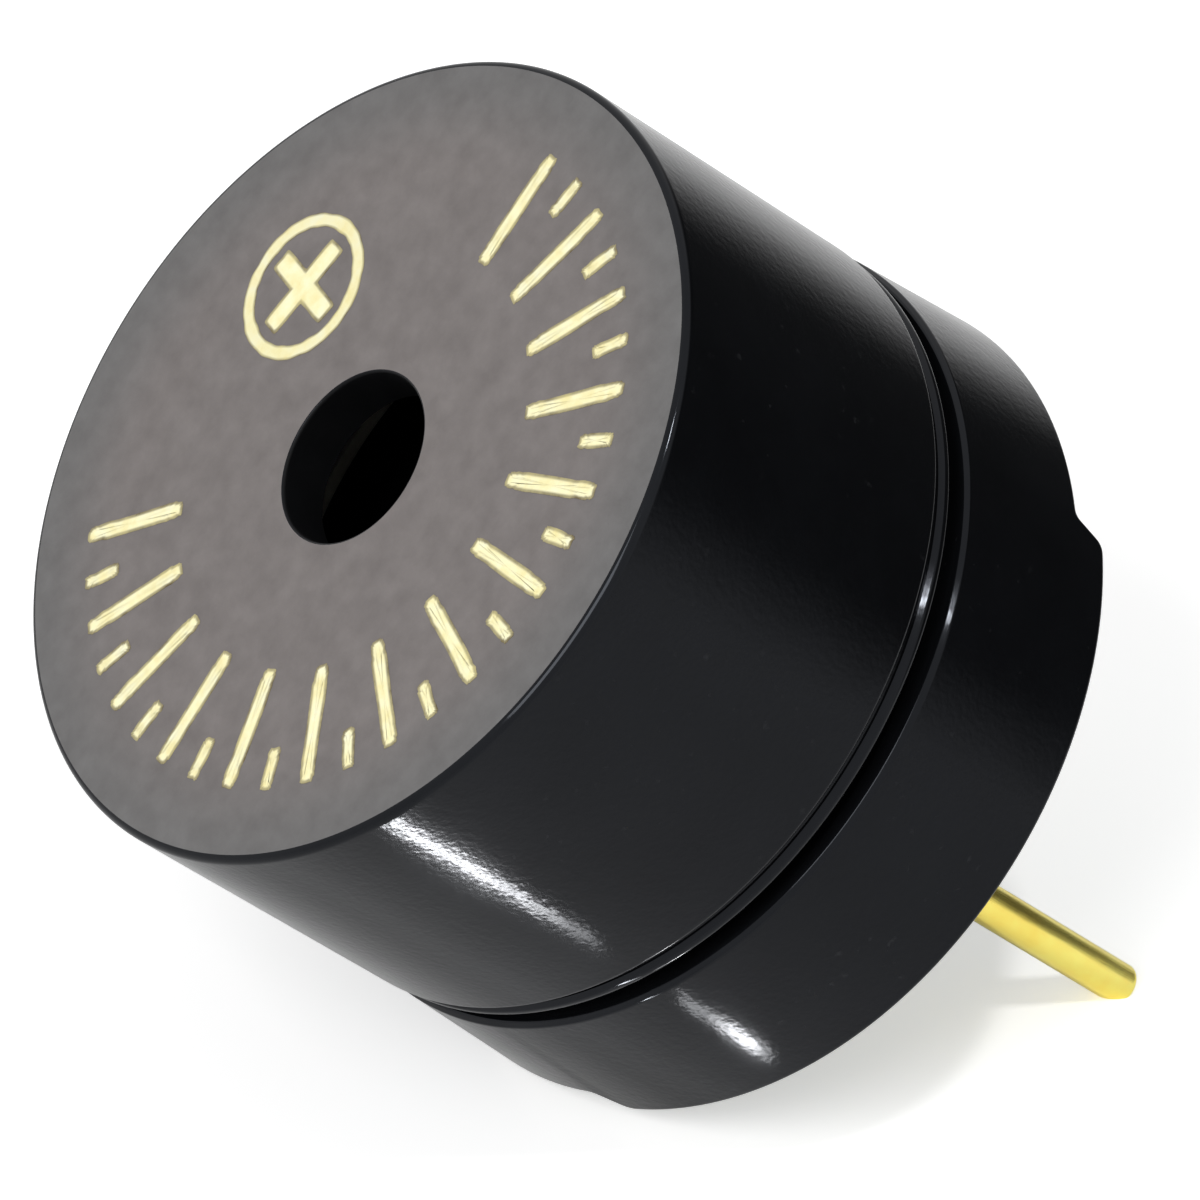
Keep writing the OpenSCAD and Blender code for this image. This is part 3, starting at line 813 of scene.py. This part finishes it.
# Rows across a mark are (inset, drop, edge): how far inside the outline a row lies, how far below
# the ink's top, and its inkEdge value. Rows across the circle's band have a share of its width
# instead of the inset.
printShape = {
    "top": 8.7, "outlinePoints": 96, "squareness": 0.34, "middleInset": 0.6, "least": 0.01,
    "edgeRows": ((0.058, 0.0, 0.05), (0.03, 0.0005, 0.85), (0.0, 0.002, 1.0), (0.0, 0.012, 1.0)),
    "bandRows": ((1.0, 0.012, 1.0), (1.0, 0.002, 1.0), (0.93, 0.0005, 0.7), (0.8, 0.0, 0.1),
                 (0.2, 0.0, 0.1), (0.07, 0.0005, 0.7), (0.0, 0.002, 1.0), (0.0, 0.012, 1.0)),
    "wobble": 0.012, "waveCounts": (3, 5, 9, 14, 23), "waveSizes": (0.3, 0.35, 0.5, 0.5, 0.4),
    "waveScale": 1.4, "ringR": 3.99, "firstTurn": -132.0, "lastTurn": 99.0, "longCount": 14,
    "longLength": 1.75, "longWidth": 0.27, "shortLength": 0.62, "shortWidth": 0.22,
    "plusCentre": (-3.10, 0.97), "plusR": 1.1, "plusLine": 0.21, "circlePoints": 240,
    "armLength": 1.5, "armWidth": 0.36, "plusPoints": 480, "plusPower": 14, "plusWobble": 0.6, "sharpAt": 60,
}
inkRandom = np.random.default_rng(12)


# Rows of an ink shape, from its middle to its outline and down its side into the face.
def inkRows(outlineAt, widest):
    inset, drop, edge = np.array(((printShape["middleInset"] * widest, 0, 0), *printShape["edgeRows"])).T
    rows = np.stack([outlineAt(amount) for amount in inset], axis=1)
    rows = np.concatenate([rows.mean(axis=(0, 1), keepdims=True) + 0 * rows[:, :1], rows], axis=1)
    z = printShape["top"] - np.concatenate([[0], drop])
    grid = np.concatenate([rows, np.broadcast_to(z[None, :, None], rows.shape[:2] + (1,))], axis=2)
    edgeValue = np.broadcast_to(np.concatenate([[0], edge]), rows.shape[:2])
    points, faces = weave(grid[:, ::-1], wrapAlong=False)
    return points, faces, edgeValue[:, ::-1].ravel()


# Slow and quick waves round an outline, which make a pad print's edge uneven.
def wobble(turn):
    s = printShape
    phase = inkRandom.uniform(0, fullTurn, len(s["waveCounts"]))
    waves = np.sin(np.outer(turn, s["waveCounts"]) + phase) @ np.array(s["waveSizes"])
    return s["wobble"] * waves / s["waveScale"]


# A mark with soft corners: a superellipse, half size times sign and a small power of cos and sin.
def inkBar(centre, direction, length, width):
    s = printShape
    turn = np.linspace(0, fullTurn, s["outlinePoints"], endpoint=False)
    uneven, c, d = wobble(turn), math.cos(direction), math.sin(direction)

    def outlineAt(inset):
        a, b = max(length / 2 - inset, s["least"]), max(width / 2 - inset, s["least"])
        u = (a + uneven) * np.sign(np.cos(turn)) * np.abs(np.cos(turn)) ** s["squareness"]
        v = (b + uneven) * np.sign(np.sin(turn)) * np.abs(np.sin(turn)) ** s["squareness"]
        return np.stack([centre[0] + u * c - v * d, centre[1] + u * d + v * c], axis=1)

    return inkRows(outlineAt, width / 2)


# The plus: in each direction, the farther of two crossed bars, each a rounded box distance.
def inkPlus(centre, length, width):
    power = printShape["plusPower"]
    turn = np.linspace(0, fullTurn, printShape["plusPoints"], endpoint=False)
    uneven, c, d = wobble(turn), np.abs(np.cos(turn)), np.abs(np.sin(turn))

    def outlineAt(inset):
        a, b = length / 2 - inset, width / 2 - inset
        level = ((c / a) ** power + (d / b) ** power) ** (-1 / power)
        upright = ((c / b) ** power + (d / a) ** power) ** (-1 / power)
        reach = (level ** power + upright ** power) ** (1 / power) + printShape["plusWobble"] * uneven
        return np.stack([centre[0] + reach * np.cos(turn), centre[1] + reach * np.sin(turn)], axis=1)

    return inkRows(outlineAt, width / 2)


# The circle round the plus: a flat band between two wavy radii, with a short side down into the face.
def inkCircle(centre, outerR, line):
    turn = np.linspace(0, fullTurn, printShape["circlePoints"], endpoint=False)
    outer = outerR + wobble(turn)
    inner = outerR - line + wobble(turn)
    share, drop, edgeValue = np.array(printShape["bandRows"]).T
    radius = inner[:, None] + (outer - inner)[:, None] * share
    grid = np.stack([centre[0] + radius * np.cos(turn)[:, None], centre[1] + radius * np.sin(turn)[:, None],
                     printShape["top"] - drop + 0 * radius], axis=2)
    points, faces = weave(grid)
    return points, faces, np.broadcast_to(edgeValue, radius.shape).ravel()


def makePrint(name, inkParts):
    piece = addPiece(name, [part[:2] for part in inkParts], [inkCream], sharpAt=printShape["sharpAt"])
    attribute = piece.data.attributes.new("inkEdge", "FLOAT", "POINT")
    edgeValues = np.concatenate([part[2] for part in inkParts])
    attribute.data.foreach_set("value", edgeValues.astype(np.float32))


# A mark of the ring, which points at the axis.
def inkMark(turn, middleR, length, width):
    return inkBar((middleR * math.cos(turn), middleR * math.sin(turn)), turn, length, width)


# The print: a ring of long and short marks, and a circled plus for the positive side.
def makeMarks(s):
    longTurns = np.radians(np.linspace(s["firstTurn"], s["lastTurn"], s["longCount"]))
    shortTurns = (longTurns[:-1] + longTurns[1:]) / 2
    shortR = s["ringR"] + s["longLength"] / 2 - s["shortLength"] / 2
    marks = [inkMark(turn, s["ringR"], s["longLength"], s["longWidth"]) for turn in longTurns]
    marks += [inkMark(turn, shortR, s["shortLength"], s["shortWidth"]) for turn in shortTurns]
    makePrint("printMarks", marks)
    makePrint("printPlus", [inkCircle(s["plusCentre"], s["plusR"], s["plusLine"]),
                            inkPlus(s["plusCentre"], s["armLength"], s["armWidth"])])


makeMarks(printShape)
print("stage 6: print made")

cameraView = {
    "place": (137.788, 31.392, 124.196), "forward": (-0.741887, -0.168553, -0.648994),
    "up": (-0.518337, 0.758161, 0.395623), "right": (0.425359, 0.629906, -0.649837),
    "lens": 407.03, "sensor": 36, "clip": (0.01, 10),
}


def makeCamera(view):
    cameraData = bpy.data.cameras.new("studioCamera")
    cameraData.lens, cameraData.sensor_width = view["lens"], view["sensor"]
    cameraData.clip_start, cameraData.clip_end = view["clip"]
    camera = bpy.data.objects.new("studioCamera", cameraData)
    scene.collection.objects.link(camera)
    axes = Matrix([view["right"], view["up"], [-v for v in view["forward"]]]).transposed()
    camera.matrix_world = Matrix.Translation(Vector(view["place"]) * mm) @ axes.to_4x4()
    scene.camera = camera


makeCamera(cameraView)


# One for what the camera sees directly, in gloss or through glass, and zero for light that bounces.
def addSeenMask(tree):
    ray = addNode(tree, "LightPath", (-1000, 300))
    direct = addNode(tree, "Math", (-800, 300), operation="MAXIMUM")
    through = addNode(tree, "Math", (-640, 300), operation="MAXIMUM")
    joinNodes(tree, (ray, "Is Camera Ray", direct, 0), (ray, "Is Glossy Ray", direct, 1),
              (direct, 0, through, 0), (ray, "Is Transmission Ray", through, 1))
    return through


tableSetup = {
    "tilt": 45.3, "through": (0, 0, -5.5), "half": 48.0, "rows": 9, "fadeFrom": 20.0, "fadeTo": 46.0,
    "seenColour": 1.0, "bounceColour": 0.95, "seenGlow": 0.43, "glossGlow": 0.12,
}
tableTilt = math.radians(tableSetup["tilt"])
tableUp = Vector((0, math.sin(tableTilt), math.cos(tableTilt)))


# White paper that glows a little where it is seen. It turns clear from behind and far from the part.
def makePaleTable(setup):
    material = bpy.data.materials.new("paleTable")
    material.use_nodes = True
    tree = material.node_tree
    tree.nodes.clear()
    end = addNode(tree, "OutputMaterial", (700, 0))
    ray = addNode(tree, "LightPath", (-700, 500))
    shade = addNode(tree, "MapRange", (-420, 160),
                    To_Min=setup["bounceColour"], To_Max=setup["seenColour"])
    shine = addNode(tree, "MapRange", (-620, -100),
                    To_Min=setup["glossGlow"], To_Max=setup["seenGlow"])
    strength = addNode(tree, "Math", (-420, -100), operation="MULTIPLY")
    paper = addNode(tree, "BsdfDiffuse", (-200, 100))
    glow = addNode(tree, "Emission", (-200, -80))
    lit = addNode(tree, "AddShader", (20, 40))
    joinNodes(tree, (ray, "Is Camera Ray", shade, "Value"), (ray, "Is Camera Ray", shine, "Value"),
              (addSeenMask(tree), 0, strength, 0), (shine, "Result", strength, 1),
              (shade, "Result", paper, "Color"), (strength, 0, glow, "Strength"), (paper, 0, lit, 0),
              (glow, 0, lit, 1))
    clear = addNode(tree, "BsdfTransparent", (20, -140))
    facing = addNode(tree, "NewGeometry", (-200, 420))
    where = addNode(tree, "TexCoord", (-700, 300))
    away = addNode(tree, "VectorMath", (-500, 300), operation="LENGTH")
    fade = addNode(tree, "MapRange", (-300, 300), interpolation_type="SMOOTHSTEP",
                   From_Min=setup["fadeFrom"] * mm, From_Max=setup["fadeTo"] * mm)
    gone = addNode(tree, "Math", (20, 300), operation="MAXIMUM")
    pick = addNode(tree, "MixShader", (400, 0))
    joinNodes(tree, (where, "Object", away, 0), (away, "Value", fade, "Value"),
              (facing, "Backfacing", gone, 0), (fade, "Result", gone, 1), (gone, 0, pick, 0),
              (lit, 0, pick, 1), (clear, 0, pick, 2), (pick, 0, end, "Surface"))
    return material


# The table: an even grid on a tilted plane through the pins' tips.
def makeTable(setup):
    steps = np.linspace(-setup["half"], setup["half"], setup["rows"])
    u, v = np.meshgrid(steps, steps, indexing="ij")
    aside = Vector((1, 0, 0))
    ahead = tableUp.cross(aside)
    grid = np.array(setup["through"]) + u[..., None] * np.array(aside) + v[..., None] * np.array(ahead)
    points, faces = weave(grid, wrapAround=False, wrapAlong=False)
    mesh = bpy.data.meshes.new("tableTop")
    mesh.from_pydata((points * mm).tolist(), [], faces)
    floor = bpy.data.objects.new("tableTop", mesh)
    scene.collection.objects.link(floor)
    mesh.materials.append(makePaleTable(setup))


makeTable(tableSetup)


# A unit vector, turned from X about Z and raised by the height, both in degrees.
def direction(turn, height):
    turn, height = math.radians(turn), math.radians(height)
    return Vector((math.cos(height) * math.cos(turn), math.cos(height) * math.sin(turn), math.sin(height)))


roomSetup = {
    "level": 0.35, "white": 1.0, "dimTurn": 90, "dimHeight": -40, "dimLevel": 0.05,
    "dimFrom": 0.62, "dimTo": 0.9,
}


# White wherever the camera, gloss or glass looks past the table, except that gloss meets the dim
# far end of the room, and a plain level for the light itself.
def makeRoom(setup):
    world = bpy.data.worlds.new("paleStudio")
    scene.world = world
    world.use_nodes = True
    tree = world.node_tree
    tree.nodes.clear()
    end = addNode(tree, "OutputWorld", (600, 0))
    level = addNode(tree, "Background", (0, 100), Color=(1, 1, 1, 1), Strength=setup["level"])
    white = addNode(tree, "Background", (0, -60), Color=(1, 1, 1, 1))
    pick = addNode(tree, "MixShader", (300, 0))
    where = addNode(tree, "TexCoord", (-900, -300))
    towards = addNode(tree, "VectorMath", (-700, -300), operation="DOT_PRODUCT")
    towards.inputs[1].default_value = direction(setup["dimTurn"], setup["dimHeight"])
    dim = addNode(tree, "MapRange", (-500, -300), interpolation_type="SMOOTHSTEP",
                  From_Min=setup["dimFrom"], From_Max=setup["dimTo"],
                  To_Min=setup["white"], To_Max=setup["dimLevel"])
    ray = addNode(tree, "LightPath", (-700, -60))
    strength = addNode(tree, "Mix", (-250, -200), data_type="FLOAT")
    strength.inputs["A"].default_value = setup["white"]
    joinNodes(tree, (where, "Generated", towards, 0), (towards, "Value", dim, "Value"),
              (ray, "Is Glossy Ray", strength, "Factor"), (dim, "Result", strength, "B"),
              (strength, "Result", white, "Strength"), (addSeenMask(tree), 0, pick, 0),
              (level, 0, pick, 1), (white, 0, pick, 2), (pick, 0, end, "Surface"))


makeRoom(roomSetup)


# An oblong area lamp, with its sides in metres and its energy in watts.
def addLamp(name, width, length, energy):
    lamp = bpy.data.lights.new(name, "AREA")
    lamp.shape = "RECTANGLE"
    lamp.size, lamp.size_y = width, length
    lamp.energy = energy
    holder = bpy.data.objects.new(name, lamp)
    scene.collection.objects.link(holder)
    return holder


# Level is how brightly a soft box lights a white card that faces it.
softBoxes = {
    "keyBox": {"turn": -2, "height": 66, "far": 300, "width": 170, "length": 170, "level": 0.63},
    "sparkBox": {"turn": 62, "height": 40, "far": 260, "width": 28, "length": 16, "level": 0.24},
}
middle = Vector((0, 0, 4))


# A soft box, aimed at the part. Its energy is the level times pi squared and the distance squared.
def addSoftBox(name, setup):
    towards = direction(setup["turn"], setup["height"])
    energy = setup["level"] * math.pi ** 2 * (setup["far"] * mm) ** 2
    box = addLamp(name, setup["width"] * mm, setup["length"] * mm, energy)
    box.location = (middle + towards * setup["far"]) * mm
    box.rotation_euler = (-towards).to_track_quat("-Z", "Y").to_euler()


for name, setup in softBoxes.items():
    addSoftBox(name, setup)


# Each streak is a row of runs along the wall, from one height to the next, each with its own
# brightness. Reach is how far out a strip hangs, as a share of the way to the table.
streaks = {
    "capStreak": {"turn": -28.0, "wallR": 5.9, "reach": 0.9, "width": 0.28,
                  "heights": (8.9, 6.5, 5.7, 5.1, 4.4), "bright": (80, 44, 22, 10)},
    "footStreak": {"turn": -28.6, "wallR": 5.95, "reach": 0.85, "width": 0.24,
                   "heights": (2.75, 2.0, 1.7, 1.05, 0.8), "bright": (10, 24, 50, 12)},
}


# A thin strip lamp close to the wall gives one run of a streak. Each end of it lies where the
# camera's ray goes after it has met the wall: the ray's mirror image, l = 2 (n.v) n - v. Its energy
# is the brightness times pi and its area.
def addStrip(name, streak, lowZ, highZ, bright):
    out = direction(streak["turn"], 0)
    ends, walls = [], []
    for z in (lowZ, highZ):
        wall = out * streak["wallR"] + Vector((0, 0, z))
        back = (Vector(cameraView["place"]) - wall).normalized()
        mirror = 2 * out.dot(back) * out - back
        room = (wall - Vector(tableSetup["through"])).dot(tableUp) / -mirror.dot(tableUp)
        ends.append(wall + mirror * room * streak["reach"])
        walls.append(wall)
    along = ends[1] - ends[0]
    facing = ((ends[0] + ends[1]) / 2 - (walls[0] + walls[1]) / 2).normalized()
    across = along.cross(facing).normalized()
    facing = across.cross(along).normalized()
    width, length = streak["width"] * mm, along.length * mm
    strip = addLamp(name, width, length, bright * math.pi * width * length)
    axes = Matrix([across, along.normalized(), facing]).transposed()
    strip.matrix_world = Matrix.Translation((ends[0] + ends[1]) / 2 * mm) @ axes.to_4x4()
    strip.visible_camera = False


for name, streak in streaks.items():
    heights = streak["heights"]
    for run, bright in enumerate(streak["bright"]):
        addStrip(name + str(run), streak, heights[run + 1], heights[run], bright)
print("stage 7: camera, table and light made")
